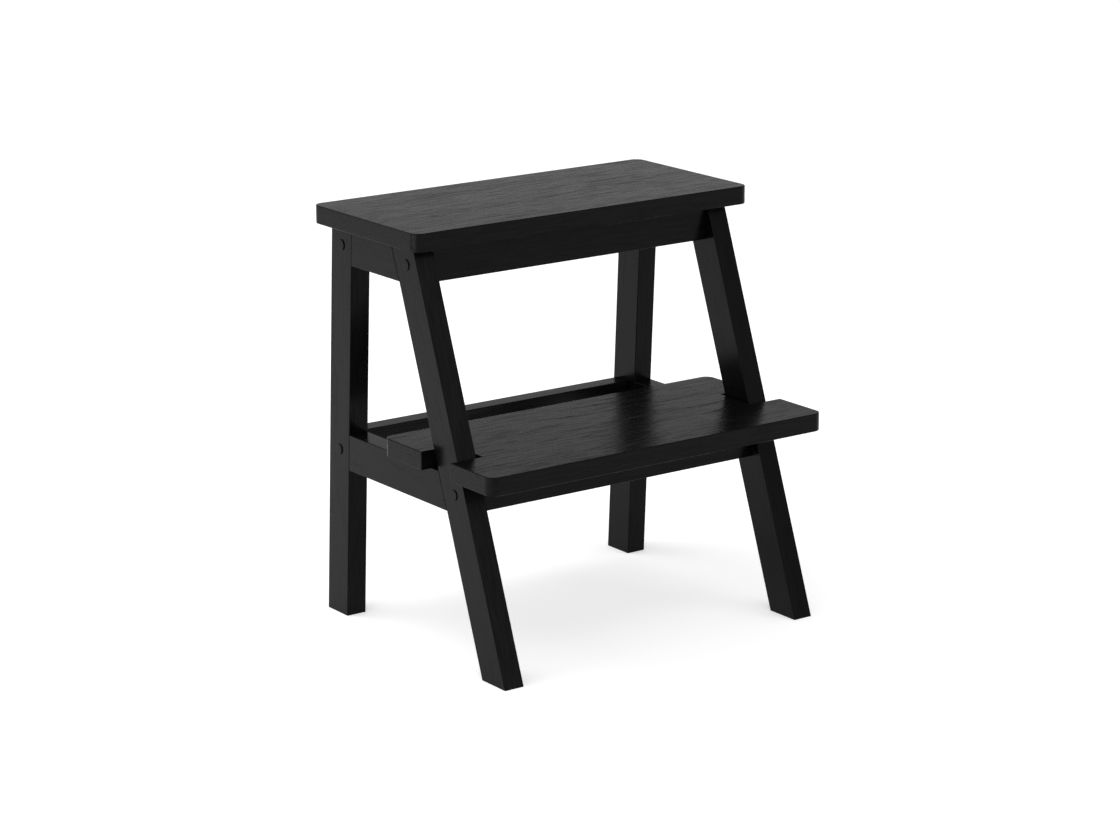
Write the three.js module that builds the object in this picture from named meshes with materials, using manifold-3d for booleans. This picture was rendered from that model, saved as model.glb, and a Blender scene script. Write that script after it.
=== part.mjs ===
// Two-step wooden step stool: a top board and a notched step board on two raked side frames, which
// four bolted cross rails tie together. Millimetres, +Z up. The origin is on the floor, under the
// middle of the footprint. +X runs along the boards, and -Y is the side that is climbed from, so
// "left" is -X: the left of someone about to step up.
import * as THREE from "three";
import { mergeVertices } from "three/addons/utils/BufferGeometryUtils.js";
import Module from "manifold-3d";

const wasm = await Module();
wasm.setup();

// ---- Overall sizes ---------------------------------------------------------------------------
const HEIGHT = 500; // floor to the face of the top board
const STEP_HEIGHT = 250; // floor to the face of the step board
const FRAME_WIDTH = 446; // over the outer faces of the legs
const TOP_FRAME_DEPTH = 172.6; // over the legs' tops, front to rear

// ---- Boards ----------------------------------------------------------------------------------
const BOARD_THICKNESS = 22;
const BOARD_END_OVERHANG = 15; // past the outer face of a leg
const BOARD_CORNER_RADIUS = 12;
const BOARD_EDGE_ROUNDING = 1;
const TOP_FRONT_OVERHANG = 29; // past the front legs' tops
const TOP_REAR_OVERHANG = 18.4; // past the rear legs' tops
const STEP_DEPTH = 220;
const STEP_TOE_SETBACK = 1.5; // front edge of the step board behind the toes
const NOTCH_SIDE_CLEARANCE = 3; // between a notch's floor and the leg's inner face
const NOTCH_FRONT_CLEARANCE = 1;
const NOTCH_REAR_CLEARANCE = 4;

// ---- Legs and rails --------------------------------------------------------------------------
const LEG_THICKNESS = 26; // along X
const LEG_WIDTH = 43; // square to the leg, seen from the side
const FRONT_RAKE = 20; // degrees, feet forward
const REAR_RAKE = 3.4; // degrees, feet backward
const LEG_EDGE_CHAMFER = 0.8;
const RAIL_HEIGHT = 44;
const CROSS_RAIL_THICKNESS = 24;
const RAIL_EDGE_CHAMFER = 0.8;
const SHOULDER_GAP = 0.3; // glue line between a side rail's shoulder and its leg

// ---- Mortise and tenon joints of the side frames ---------------------------------------------
const TENON_LENGTH = 12;
const TENON_THICKNESS = 10;
const TENON_SHOULDER = 7; // rail left above and below a tenon
const TENON_CLEARANCE = 0.3;

// ---- Bolts, barrel nuts, caps and dowels of the cross rails ----------------------------------
const BOLT_DIAMETER = 6;
const BOLT_LENGTH = 50; // under the head
const BOLT_TIP_CHAMFER = 1;
const BOLT_HEAD_DIAMETER = 10;
const BOLT_HEAD_HEIGHT = 6;
const HEX_SOCKET_WIDTH = 5; // across flats
const HEX_SOCKET_DEPTH = 3;
const BOLT_CLEARANCE = 0.3; // round the shank and past its end
const HEAD_CLEARANCE = 0.8; // round the head
const NUT_DIAMETER = 10;
const NUT_LENGTH = 14;
const NUT_FROM_TIP = 9; // barrel nut's axis back from the bolt's end
const NUT_CLEARANCE = 0.3;
const NUT_SLOT_WIDTH = 1.4;
const NUT_SLOT_DEPTH = 1.5;
const CAP_DIAMETER = 13;
const CAP_HEIGHT = 1.2; // proud of the leg
const CAP_EDGE_ROUNDING = 0.3;
const CAP_STEM_LENGTH = 3.5;
const CAP_STEM_CLEARANCE = 0.3; // round the stem, and between it and the bolt's head
const DOWEL_DIAMETER = 8;
const DOWEL_LENGTH = 28;
const DOWEL_END_CHAMFER = 1;
const DOWEL_OFFSET = 13; // above the bolt
const DOWEL_CLEARANCE = 0.3;

// ---- Screws that hold the boards down --------------------------------------------------------
const SCREW_DIAMETER = 4.5;
const SCREW_LENGTH = 35; // under the head
const SCREW_TIP = 6;
const SCREW_BITE = 14; // length in the board
const SCREW_HEAD_DIAMETER = 8.5;
const SCREW_HEAD_HEIGHT = 3;
const SCREW_DRIVE_LENGTH = 5;
const SCREW_DRIVE_WIDTH = 1.2;
const SCREW_DRIVE_DEPTH = 1.6;
const SCREW_CLEARANCE = 0.3;
const SCREW_POCKET_CLEARANCE = 0.8; // round the head, in the rail's deep hole
const TOP_SCREW_FROM_LEG = 14; // along a top side rail, from the leg at the rail's top edge
const STEP_SCREW_FROM_LEG = 67; // along the front rail under the step

// ---- Fineness of the round faces -------------------------------------------------------------
const CORNER_SEGMENTS = 6;
const EDGE_SEGMENTS = 2;
const CAP_SEGMENTS = 24;
const HARDWARE_SEGMENTS = 12;
const HEX_SIDES = 6;
const OVERSHOOT = 1; // how far a cutter stands out of the face that it enters
const MERGE_TOLERANCE = 1e-4;

// ---- Places worked out from the sizes --------------------------------------------------------
const frontSlope = Math.tan(THREE.MathUtils.degToRad(FRONT_RAKE));
const rearSlope = Math.tan(THREE.MathUtils.degToRad(REAR_RAKE));
const frontLegDepth = LEG_WIDTH * Math.hypot(1, frontSlope); // level cut through a front leg
const rearLegDepth = LEG_WIDTH * Math.hypot(1, rearSlope);
const legTop = HEIGHT - BOARD_THICKNESS;
const stepUnderside = STEP_HEIGHT - BOARD_THICKNESS;
const baseDepth = TOP_FRAME_DEPTH + legTop * (frontSlope + rearSlope);
const legOuter = FRAME_WIDTH / 2;
const legInner = legOuter - LEG_THICKNESS;
const legMiddle = legOuter - LEG_THICKNESS / 2;

// The Y of each leg's faces and centre line, at height z
const frontLeg = {
  front: (z) => -baseDepth / 2 + frontSlope * z,
  centre: (z) => frontLeg.front(z) + frontLegDepth / 2,
  back: (z) => frontLeg.front(z) + frontLegDepth,
};
const rearLeg = {
  front: (z) => rearLeg.back(z) - rearLegDepth,
  centre: (z) => rearLeg.back(z) - rearLegDepth / 2,
  back: (z) => baseDepth / 2 - rearSlope * z,
};

const boardEnd = legOuter + BOARD_END_OVERHANG;
const topFront = frontLeg.front(legTop) - TOP_FRONT_OVERHANG;
const topBack = rearLeg.back(legTop) + TOP_REAR_OVERHANG;
const stepFront = frontLeg.front(0) + STEP_TOE_SETBACK;
const stepBack = stepFront + STEP_DEPTH;
const notchFront = frontLeg.front(stepUnderside) - NOTCH_FRONT_CLEARANCE;
const notchBack = frontLeg.back(STEP_HEIGHT) + NOTCH_REAR_CLEARANCE;
const notchFloor = legInner - NOTCH_SIDE_CLEARANCE;

// The rails stand on two levels, each given by the height of its rails' centre line
const topLevel = legTop - RAIL_HEIGHT / 2;
const stepLevel = stepUnderside - RAIL_HEIGHT / 2;
const levels = [topLevel, stepLevel];

const boltSeat = legOuter - CAP_STEM_LENGTH - CAP_STEM_CLEARANCE - BOLT_HEAD_HEIGHT;
const boltTip = boltSeat - BOLT_LENGTH;
const nutAxis = boltTip + NUT_FROM_TIP;
const screwHeadDepth = RAIL_HEIGHT + SCREW_BITE - SCREW_LENGTH; // up from the rail's underside
const topScrewStations = {
  front: frontLeg.back(legTop) + TOP_SCREW_FROM_LEG,
  rear: rearLeg.front(legTop) - TOP_SCREW_FROM_LEG,
};
const stepSideStation = (notchBack + stepBack) / 2;
const stepRailStation = legInner - STEP_SCREW_FROM_LEG;

// ---- Materials -------------------------------------------------------------------------------
const stainedWood = { color: 0x1d1d1e, roughness: 0.45, metalness: 0 };
const bareWood = { color: 0xc8a878, roughness: 0.7, metalness: 0 };
const zincSteel = { color: 0xb4b6b8, roughness: 0.35, metalness: 1 };

// ---- Solids ----------------------------------------------------------------------------------
function toSolid(geometry) {
  const plain = geometry.clone();
  plain.deleteAttribute("normal");
  plain.deleteAttribute("uv");
  const merged = mergeVertices(plain, MERGE_TOLERANCE);
  return new wasm.Manifold(
    new wasm.Mesh({
      numProp: 3,
      vertProperties: new Float32Array(merged.attributes.position.array),
      triVerts: new Uint32Array(merged.index.array),
    }),
  );
}

function toGeometry(solid) {
  const mesh = solid.getMesh();
  const geometry = new THREE.BufferGeometry();
  geometry.setAttribute("position", new THREE.BufferAttribute(mesh.vertProperties, 3));
  geometry.setIndex(new THREE.BufferAttribute(mesh.triVerts, 1));
  geometry.computeVertexNormals();
  return geometry;
}

const cutAll = (solid, cutters) => cutters.reduce((rest, cutter) => rest.subtract(cutter), solid);

// A box about the Z axis, from one height to another
function block(length, width, from, to) {
  const geometry = new THREE.BoxGeometry(length, width, to - from);
  return toSolid(geometry.translate(0, 0, (from + to) / 2));
}

// A rod along an axis, from one station on it to another; across is its place on the other two
// axes, in X, Y, Z order.
function rod(axis, radius, from, to, across = [0, 0]) {
  const length = Math.abs(to - from);
  const geometry = new THREE.CylinderGeometry(radius, radius, length, HARDWARE_SEGMENTS);
  const middle = (from + to) / 2;
  const [first, second] = across;
  if (axis === "x") geometry.rotateZ(Math.PI / 2).translate(middle, first, second);
  if (axis === "y") geometry.translate(first, middle, second);
  if (axis === "z") geometry.rotateX(Math.PI / 2).translate(first, second, middle);
  return toSolid(geometry);
}

// A panel with a flat outline of [y, z] corners, and its thickness along X about x = 0
function sidePanel(corners, thickness, chamfer = 0) {
  const shape = new THREE.Shape(corners.map(([y, z]) => new THREE.Vector2(y, z)));
  const geometry = new THREE.ExtrudeGeometry(shape, {
    depth: thickness - 2 * chamfer,
    bevelEnabled: chamfer > 0,
    bevelThickness: chamfer,
    bevelSize: chamfer,
    bevelOffset: -chamfer,
    bevelSegments: 1,
  });
  geometry.translate(0, 0, chamfer - thickness / 2);
  geometry.rotateX(Math.PI / 2).rotateZ(Math.PI / 2);
  return toSolid(geometry);
}

// A turned piece about the Y axis, from its [radius, height] profile
const turned = (profile, segments = HARDWARE_SEGMENTS) =>
  new THREE.LatheGeometry(
    profile.map(([radius, height]) => new THREE.Vector2(radius, height)),
    segments,
  );

// ---- Holes -----------------------------------------------------------------------------------
// A screw's pilot hole in a board, up from its underside
const pilotHole = (underside, place) =>
  rod(
    "z",
    SCREW_DIAMETER / 2 + SCREW_CLEARANCE,
    underside - OVERSHOOT,
    underside + SCREW_BITE + SCREW_CLEARANCE,
    place,
  );

// A screw's way up through a rail: a deep hole for the head, then a clearance hole
function screwWay(underside, place) {
  const headRadius = SCREW_HEAD_DIAMETER / 2 + SCREW_POCKET_CLEARANCE;
  const shankRadius = SCREW_DIAMETER / 2 + SCREW_CLEARANCE;
  const headSeat = underside + screwHeadDepth;
  const railTop = underside + RAIL_HEIGHT;
  return rod("z", headRadius, underside - OVERSHOOT, headSeat, place).add(
    rod("z", shankRadius, underside, railTop + OVERSHOOT, place),
  );
}

// ---- Boards ----------------------------------------------------------------------------------
// Plan outline of a board, counter-clockwise from the right end of its front edge
function boardOutline(front, back, notched) {
  const r = BOARD_CORNER_RADIUS;
  const end = boardEnd;
  const shape = new THREE.Shape();
  shape.absarc(end - r, front + r, r, -Math.PI / 2, 0, false);
  if (notched) {
    shape.lineTo(end, notchFront);
    shape.lineTo(notchFloor, notchFront);
    shape.lineTo(notchFloor, notchBack);
    shape.lineTo(end, notchBack);
  }
  shape.absarc(end - r, back - r, r, 0, Math.PI / 2, false);
  shape.absarc(r - end, back - r, r, Math.PI / 2, Math.PI, false);
  if (notched) {
    shape.lineTo(-end, notchBack);
    shape.lineTo(-notchFloor, notchBack);
    shape.lineTo(-notchFloor, notchFront);
    shape.lineTo(-end, notchFront);
  }
  shape.absarc(r - end, front + r, r, Math.PI, 1.5 * Math.PI, false);
  return shape;
}

function board(outline, underside, screwPlaces) {
  const geometry = new THREE.ExtrudeGeometry(outline, {
    depth: BOARD_THICKNESS - 2 * BOARD_EDGE_ROUNDING,
    curveSegments: CORNER_SEGMENTS,
    bevelThickness: BOARD_EDGE_ROUNDING,
    bevelSize: BOARD_EDGE_ROUNDING,
    bevelOffset: -BOARD_EDGE_ROUNDING,
    bevelSegments: EDGE_SEGMENTS,
  });
  geometry.translate(0, 0, underside + BOARD_EDGE_ROUNDING);
  const pilots = screwPlaces.map((place) => pilotHole(underside, place));
  return toGeometry(cutAll(toSolid(geometry), pilots));
}

// ---- Side frames, each about the middle of its legs' thickness ---------------------------------
// Outline of a side rail between its two legs, its ends lengthened and its edges trimmed
function railOutline(level, lengthened, trimmed) {
  const low = level - RAIL_HEIGHT / 2 + trimmed;
  const high = level + RAIL_HEIGHT / 2 - trimmed;
  const frontEnd = (z) => frontLeg.back(z) + SHOULDER_GAP - lengthened;
  const rearEnd = (z) => rearLeg.front(z) - SHOULDER_GAP + lengthened;
  return [
    [frontEnd(low), low],
    [rearEnd(low), low],
    [rearEnd(high), high],
    [frontEnd(high), high],
  ];
}

function sideRail(level, screwStations) {
  const body = sidePanel(railOutline(level, 0, 0), LEG_THICKNESS);
  const tenons = sidePanel(railOutline(level, TENON_LENGTH, TENON_SHOULDER), TENON_THICKNESS);
  const underside = level - RAIL_HEIGHT / 2;
  const ways = screwStations.map((y) => screwWay(underside, [0, y]));
  return toGeometry(cutAll(body.add(tenons), ways));
}

const mortises = (level) =>
  sidePanel(
    railOutline(level, TENON_LENGTH + TENON_CLEARANCE, TENON_SHOULDER - TENON_CLEARANCE),
    TENON_THICKNESS + 2 * TENON_CLEARANCE,
  );

// A leg of the frame whose outer face is towards `outward` (+1 or -1 along X). On each level it
// has a mortise, a headed bolt hole and a dowel hole.
function leg(faces, outward) {
  const outline = [
    [faces.front(0), 0],
    [faces.back(0), 0],
    [faces.back(legTop), legTop],
    [faces.front(legTop), legTop],
  ];
  const outerMouth = outward * (LEG_THICKNESS / 2 + OVERSHOOT);
  const headSeat = outward * (boltSeat - legMiddle);
  const dowelEnd = outward * (DOWEL_LENGTH / 2 + DOWEL_CLEARANCE - LEG_THICKNESS / 2);
  const cutters = levels.flatMap((level) => {
    const boltPlace = [faces.centre(level), level];
    const dowelPlace = [faces.centre(level), level + DOWEL_OFFSET];
    return [
      mortises(level),
      rod("x", BOLT_HEAD_DIAMETER / 2 + HEAD_CLEARANCE, outerMouth, headSeat, boltPlace),
      rod("x", BOLT_DIAMETER / 2 + BOLT_CLEARANCE, outerMouth, -outerMouth, boltPlace),
      rod("x", DOWEL_DIAMETER / 2 + DOWEL_CLEARANCE, dowelEnd, -outerMouth, dowelPlace),
    ];
  });
  return toGeometry(cutAll(sidePanel(outline, LEG_THICKNESS, LEG_EDGE_CHAMFER), cutters));
}

// ---- Cross rails, each about its own middle ----------------------------------------------------
// The barrel nuts go in from the face towards `inward` (+1 or -1 along Y)
function crossRail(inward, screwPlaces) {
  const y = CROSS_RAIL_THICKNESS / 2;
  const z = RAIL_HEIGHT / 2;
  const chamfer = RAIL_EDGE_CHAMFER;
  const corners = [
    [-y, chamfer - z],
    [chamfer - y, -z],
    [y - chamfer, -z],
    [y, chamfer - z],
    [y, z - chamfer],
    [y - chamfer, z],
    [chamfer - y, z],
    [-y, z - chamfer],
  ];
  const nutMouth = inward * (y + OVERSHOOT);
  const nutFloor = -inward * (NUT_LENGTH / 2 + NUT_CLEARANCE);
  const endCutters = [-1, 1].flatMap((side) => {
    const mouth = side * (legInner + OVERSHOOT);
    const boltEnd = side * (boltTip - BOLT_CLEARANCE);
    const dowelEnd = side * (legInner - DOWEL_LENGTH / 2 - DOWEL_CLEARANCE);
    return [
      rod("x", BOLT_DIAMETER / 2 + BOLT_CLEARANCE, mouth, boltEnd),
      rod("x", DOWEL_DIAMETER / 2 + DOWEL_CLEARANCE, mouth, dowelEnd, [0, DOWEL_OFFSET]),
      rod("y", NUT_DIAMETER / 2 + NUT_CLEARANCE, nutMouth, nutFloor, [side * nutAxis, 0]),
    ];
  });
  const ways = screwPlaces.map((place) => screwWay(-z, place));
  return toGeometry(cutAll(sidePanel(corners, 2 * legInner), [...endCutters, ...ways]));
}

// ---- Hardware, each about its own axis ---------------------------------------------------------
// Bolt with its head towards +X and the seat of the head at the origin
function bolt() {
  const body = turned([
    [0, -BOLT_LENGTH],
    [BOLT_DIAMETER / 2 - BOLT_TIP_CHAMFER, -BOLT_LENGTH],
    [BOLT_DIAMETER / 2, BOLT_TIP_CHAMFER - BOLT_LENGTH],
    [BOLT_DIAMETER / 2, 0],
    [BOLT_HEAD_DIAMETER / 2, 0],
    [BOLT_HEAD_DIAMETER / 2, BOLT_HEAD_HEIGHT],
    [0, BOLT_HEAD_HEIGHT],
  ]);
  const socketRadius = HEX_SOCKET_WIDTH / 2 / Math.cos(Math.PI / HEX_SIDES);
  const socketHeight = HEX_SOCKET_DEPTH + OVERSHOOT;
  const socket = new THREE.CylinderGeometry(socketRadius, socketRadius, socketHeight, HEX_SIDES);
  socket.translate(0, BOLT_HEAD_HEIGHT + OVERSHOOT - socketHeight / 2, 0);
  return toGeometry(toSolid(body).subtract(toSolid(socket))).rotateZ(-Math.PI / 2);
}

// Cap with its face towards +X, its rim's underside at the origin and its stem in the bolt's hole
function cap() {
  const stemRadius = BOLT_HEAD_DIAMETER / 2 + HEAD_CLEARANCE - CAP_STEM_CLEARANCE;
  const rimRadius = CAP_DIAMETER / 2;
  const edge = Array.from({ length: EDGE_SEGMENTS + 1 }, (_, i) => {
    const angle = ((i / EDGE_SEGMENTS) * Math.PI) / 2;
    return [
      rimRadius - CAP_EDGE_ROUNDING * (1 - Math.cos(angle)),
      CAP_HEIGHT - CAP_EDGE_ROUNDING * (1 - Math.sin(angle)),
    ];
  });
  const profile = [
    [0, -CAP_STEM_LENGTH],
    [stemRadius, -CAP_STEM_LENGTH],
    [stemRadius, 0],
    [rimRadius, 0],
    ...edge,
    [0, CAP_HEIGHT],
  ];
  return turned(profile, CAP_SEGMENTS).rotateZ(-Math.PI / 2);
}

// Barrel nut with its slotted end towards +Y, crossed by the bolt's hole along X
function barrelNut() {
  const end = NUT_LENGTH / 2;
  const slot = block(NUT_DIAMETER + OVERSHOOT, NUT_SLOT_WIDTH, end - NUT_SLOT_DEPTH, end + OVERSHOOT);
  const boltHole = rod("x", BOLT_DIAMETER / 2 + BOLT_CLEARANCE, -NUT_DIAMETER, NUT_DIAMETER);
  const upright = cutAll(rod("z", NUT_DIAMETER / 2, -end, end), [slot, boltHole]);
  return toGeometry(upright).rotateX(-Math.PI / 2);
}

// Dowel along X, half of it on each side of the origin
function dowel() {
  const end = DOWEL_LENGTH / 2;
  const radius = DOWEL_DIAMETER / 2;
  return turned([
    [0, -end],
    [radius - DOWEL_END_CHAMFER, -end],
    [radius, DOWEL_END_CHAMFER - end],
    [radius, end - DOWEL_END_CHAMFER],
    [radius - DOWEL_END_CHAMFER, end],
    [0, end],
  ]).rotateZ(Math.PI / 2);
}

// Wood screw pointing up, with the seat of its cross-slotted head at the origin
function screw() {
  const radius = SCREW_DIAMETER / 2;
  const body = turned([
    [0, -SCREW_HEAD_HEIGHT],
    [SCREW_HEAD_DIAMETER / 2, -SCREW_HEAD_HEIGHT],
    [SCREW_HEAD_DIAMETER / 2, 0],
    [radius, 0],
    [radius, SCREW_LENGTH - SCREW_TIP],
    [0, SCREW_LENGTH],
  ]).rotateX(Math.PI / 2);
  const low = -SCREW_HEAD_HEIGHT - OVERSHOOT;
  const high = -SCREW_HEAD_HEIGHT + SCREW_DRIVE_DEPTH;
  const drive = [
    block(SCREW_DRIVE_LENGTH, SCREW_DRIVE_WIDTH, low, high),
    block(SCREW_DRIVE_WIDTH, SCREW_DRIVE_LENGTH, low, high),
  ];
  return toGeometry(cutAll(toSolid(body), drive));
}

// ---- Assembly --------------------------------------------------------------------------------
const root = new THREE.Group();
const sides = { left: -1, right: 1 };

function addGroup(x, y, z) {
  const group = new THREE.Group();
  group.position.set(x, y, z);
  root.add(group);
  return group;
}

function addPiece(parent, name, geometry, material, position = [0, 0, 0]) {
  const mesh = new THREE.Mesh(geometry, new THREE.MeshStandardMaterial(material));
  mesh.name = name;
  mesh.position.set(...position);
  parent.add(mesh);
  return mesh;
}

function addBoards() {
  const bothSides = (x, y) => Object.values(sides).map((sign) => [sign * x, y]);
  const topScrews = Object.values(topScrewStations).flatMap((y) => bothSides(legMiddle, y));
  const stepScrews = [
    ...bothSides(legMiddle, stepSideStation),
    ...bothSides(stepRailStation, frontLeg.centre(stepLevel)),
  ];
  const topOutline = boardOutline(topFront, topBack, false);
  const stepOutline = boardOutline(stepFront, stepBack, true);
  addPiece(root, "top_board", board(topOutline, legTop, topScrews), stainedWood);
  addPiece(root, "step_board", board(stepOutline, stepUnderside, stepScrews), stainedWood);
}

function addSideFrame(side, sign) {
  const frame = addGroup(sign * legMiddle, 0, 0);
  addPiece(frame, `front_leg_${side}`, leg(frontLeg, sign), stainedWood);
  addPiece(frame, `rear_leg_${side}`, leg(rearLeg, sign), stainedWood);
  const topStations = Object.values(topScrewStations);
  addPiece(frame, `top_side_rail_${side}`, sideRail(topLevel, topStations), stainedWood);
  addPiece(frame, `lower_side_rail_${side}`, sideRail(stepLevel, [stepSideStation]), stainedWood);
  for (const [station, y] of Object.entries(topScrewStations)) {
    addScrew(frame, `top_screw_${station}_${side}`, 0, y, topLevel);
  }
  addScrew(frame, `step_screw_rear_${side}`, 0, stepSideStation, stepLevel);
}

function addScrew(parent, name, x, y, railMiddle) {
  const headSeat = railMiddle - RAIL_HEIGHT / 2 + screwHeadDepth;
  addPiece(parent, name, screw(), zincSteel, [x, y, headSeat]);
}

// A cross rail on the centre line of its legs, with its hardware; returns the rail's group
function addCrossRail(name, faces, level, inward, screwPlaces = []) {
  const group = addGroup(0, faces.centre(level), level);
  addPiece(group, `${name}_rail`, crossRail(inward, screwPlaces), stainedWood);
  for (const [side, sign] of Object.entries(sides)) {
    const label = `${name}_${side}`;
    const outward = sign > 0 ? 0 : Math.PI; // turns the end that faces +X outwards
    addPiece(group, `cap_${label}`, cap(), stainedWood, [sign * legOuter, 0, 0]).rotation.z = outward;
    addPiece(group, `bolt_${label}`, bolt(), zincSteel, [sign * boltSeat, 0, 0]).rotation.z = outward;
    const nut = addPiece(group, `barrel_nut_${label}`, barrelNut(), zincSteel, [sign * nutAxis, 0, 0]);
    nut.rotation.z = inward > 0 ? 0 : Math.PI;
    addPiece(group, `dowel_${label}`, dowel(), bareWood, [sign * legInner, 0, DOWEL_OFFSET]);
  }
  return group;
}

addBoards();
for (const [side, sign] of Object.entries(sides)) addSideFrame(side, sign);
addCrossRail("top_front", frontLeg, topLevel, 1);
addCrossRail("top_rear", rearLeg, topLevel, -1);
addCrossRail("lower_rear", rearLeg, stepLevel, -1);

// The step board is also screwed down to the rail under its middle
const stepRailPlaces = Object.values(sides).map((sign) => [sign * stepRailStation, 0]);
const stepRail = addCrossRail("lower_front", frontLeg, stepLevel, 1, stepRailPlaces);
for (const [side, sign] of Object.entries(sides)) {
  addScrew(stepRail, `step_screw_front_${side}`, sign * stepRailStation, 0, 0);
}

export default root;
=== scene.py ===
"""Dressed model of a black-stained two-step stool, built as an add-on and run as a script.

Every piece is made in the stool's own frame: metres, +Z up, the floor at zero, +X along the boards
and -Y the side that is climbed from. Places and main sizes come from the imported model's nodes, and
the sizes that it doesn't show, such as thread pitches and softened edges, are properties.
"""

import math
import random

import bmesh
import bpy
from bpy.props import FloatProperty, FloatVectorProperty, IntProperty, PointerProperty
from mathutils import Matrix, Vector


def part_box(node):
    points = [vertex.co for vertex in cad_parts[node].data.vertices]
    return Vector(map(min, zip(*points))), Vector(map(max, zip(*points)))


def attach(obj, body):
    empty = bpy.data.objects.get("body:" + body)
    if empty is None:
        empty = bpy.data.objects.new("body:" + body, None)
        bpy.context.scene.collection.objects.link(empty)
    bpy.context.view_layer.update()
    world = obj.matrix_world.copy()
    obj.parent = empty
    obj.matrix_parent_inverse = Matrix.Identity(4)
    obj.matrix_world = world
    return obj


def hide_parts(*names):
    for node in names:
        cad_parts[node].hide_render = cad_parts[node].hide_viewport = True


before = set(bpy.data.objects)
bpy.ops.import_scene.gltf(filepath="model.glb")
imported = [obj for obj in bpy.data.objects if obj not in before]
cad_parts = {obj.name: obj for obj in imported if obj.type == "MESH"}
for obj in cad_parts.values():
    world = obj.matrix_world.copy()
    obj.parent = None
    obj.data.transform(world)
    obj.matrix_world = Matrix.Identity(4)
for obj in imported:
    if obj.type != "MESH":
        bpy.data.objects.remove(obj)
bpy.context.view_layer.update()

bl_info = {
    "name": "Two-Step Stool",
    "version": (1, 0, 0),
    "blender": (4, 5, 0),
    "location": "3D Viewport > Sidebar > Step Stool",
    "description": "Builds the boards, frames, hardware and stage of a two-step wooden stool",
    "category": "Object",
}

BODY = "root"
SIDES = {"left": -1, "right": 1}
MM = 0.001
HAIR = 1e-5  # closer than this, two corners lie on one level
SHARP = math.radians(35)  # edges steeper than this stay crisp, or are softened
CORNER_STEPS = 16  # faces round a board's corner
EDGE_STEPS = 3  # faces across a softened edge
BORE_SEGMENTS = 40  # faces round a drilled hole or a barrel nut
CAP_SEGMENTS = 64
THREAD_SEGMENTS = 24
FLUTE_SEGMENTS = 6  # faces across one of a dowel's flutes
HEX_SIDES = 6
FLOOR_SEGMENTS = 96
ROWS_PER_TURN = 4  # rows of corners along one turn of a thread
CROWN_ROWS = (0.75, 0.5, 0.25, 0.05)  # rows on a cap's crowned face, as shares of its radius
CUTTER_REACH = 2 * MM  # how far a cutter stands out of the face that it enters
STEEL_EASE = 0.4 * MM  # broken edges of bolts and barrel nuts
SCREW_EASE = 0.3 * MM
BOLT_TIP = 0.7  # chamfer at a bolt's tip, as a share of its pitch
BOLT_THREAD_DEPTH = 0.55  # depth of a thread, as a share of its pitch
SCREW_THREAD_DEPTH = 0.35
SCREW_TAPER = 0.55  # radius halfway along a screw's tip, as a share of its shank's
SCREW_POINT = 0.06  # radius of its blunted point, as the same share
X, Y, Z = Vector((1, 0, 0)), Vector((0, 1, 0)), Vector((0, 0, 1))

# Where a piece lay in its log: metres along, across and through the grain from the log's middle
TOP_BOARD_LOG = (0.4, 0.028, 0.085)
STEP_BOARD_LOG = (3.1, -0.035, 0.14)
NO_LOG = (0, 0, 0)  # steel

# The ranges from which the other pieces draw theirs, and the seeds of the draws
TIMBER_LOG = ((5, 50), (-0.03, 0.03), (0.05, 0.12))
DOWEL_LOG = ((0, 50), (-0.02, 0.02), (0.05, 0.1))
LEG_SEED = 11
SIDE_RAIL_SEED = 23
CROSS_RAIL_SEED = 37
CAP_SEED = 41
DOWEL_SEED = 53


# ---- Properties ------------------------------------------------------------------------------
def size(name, millimetres, description):
    """A length property that is written in millimetres and kept in metres."""
    return FloatProperty(
        name=name,
        description=description,
        default=millimetres * MM,
        min=0.0,
        precision=5,
        unit="LENGTH",
        subtype="DISTANCE",
    )


def count(name, default, description):
    return IntProperty(name=name, description=description, default=default, min=3)


def factor(name, default, description):
    """A share from 0 to 1."""
    return FloatProperty(
        name=name,
        description=description,
        default=default,
        min=0.0,
        max=1.0,
        subtype="FACTOR",
    )


def angle(name, degrees, description):
    """An angle property that is written in degrees and kept in radians."""
    radians = math.radians(degrees)
    return FloatProperty(name=name, description=description, default=radians, subtype="ANGLE")


def colour(name, default, description):
    return FloatVectorProperty(
        name=name,
        description=description,
        default=default,
        min=0.0,
        max=1.0,
        size=3,
        subtype="COLOR",
    )


def point(name, default, description):
    return FloatVectorProperty(
        name=name,
        description=description,
        default=default,
        size=3,
        unit="LENGTH",
        subtype="TRANSLATION",
    )


def light(name, default, description):
    return FloatProperty(name=name, description=description, default=default, min=0.0)


def power(name, watts, description):
    return FloatProperty(name=name, description=description, default=watts, min=0.0, unit="POWER")


class StoolTimber(bpy.types.PropertyGroup):
    """Shapes of the boards, legs and rails that the frame's boxes don't give."""

    corner_radius: size("Corner radius", 12, "Radius of the boards' four corners, in plan")
    board_softness: size("Board edge", 1.0, "Radius of the boards' softened edges")
    frame_softness: size("Frame edge", 0.8, "Radius of the legs' and rails' softened edges")
    notch_front_gap: size("Notch front gap", 1.0, "Clearance ahead of a leg at the step board's underside")
    notch_rear_gap: size("Notch rear gap", 4.0, "Clearance behind a leg at the step board's face")
    notch_side_gap: size("Notch side gap", 3.0, "Clearance between a leg and the bottom of its notch")


class StoolJoinery(bpy.types.PropertyGroup):
    """Tenons, mortises and holes."""

    glue_gap: size("Glue gap", 0.3, "Clearance round tenons, dowels and shanks")
    tenon_length: size("Tenon length", 12, "How far a side rail's tenon enters a leg")
    tenon_thickness: size("Tenon thickness", 10, "Thickness of a tenon across the leg")
    tenon_shoulder: size("Tenon shoulder", 7, "Rail left above and below a tenon")
    head_clearance: size("Head clearance", 0.8, "Room round the head of a bolt or screw in its hole")
    mouth_flare: size("Hole mouth", 0.4, "Chamfer at the mouth of each drilled hole")


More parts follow.
